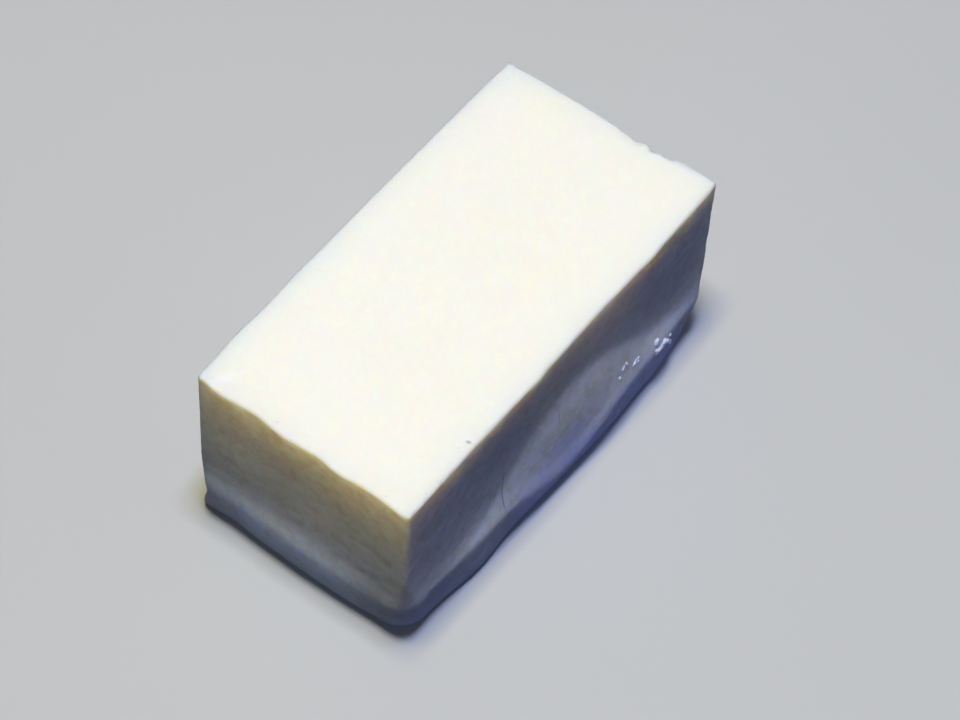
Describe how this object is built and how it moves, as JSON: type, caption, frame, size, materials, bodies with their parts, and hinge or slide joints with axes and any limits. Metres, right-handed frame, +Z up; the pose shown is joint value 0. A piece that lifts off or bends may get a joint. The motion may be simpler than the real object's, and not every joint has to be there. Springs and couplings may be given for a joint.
{
  "type": "tofu block",
  "caption": "Upright block of silken tofu with a crisp cut top, softly bulging moulded sides, a low ridge above the foot and a flat underside.",
  "frame": {"origin": "middle of the bounding box, on the flat underside that the block stands on", "axes": "+Y along the block's long side, +X across it, +Z up to the cut top face"},
  "size_m": [0.0474, 0.0864, 0.0412],
  "materials": {
    "tofu": "moist satin"
  },
  "bodies": {
    "root": {"tofu_block": "tofu"}
  },
  "joints": []
}
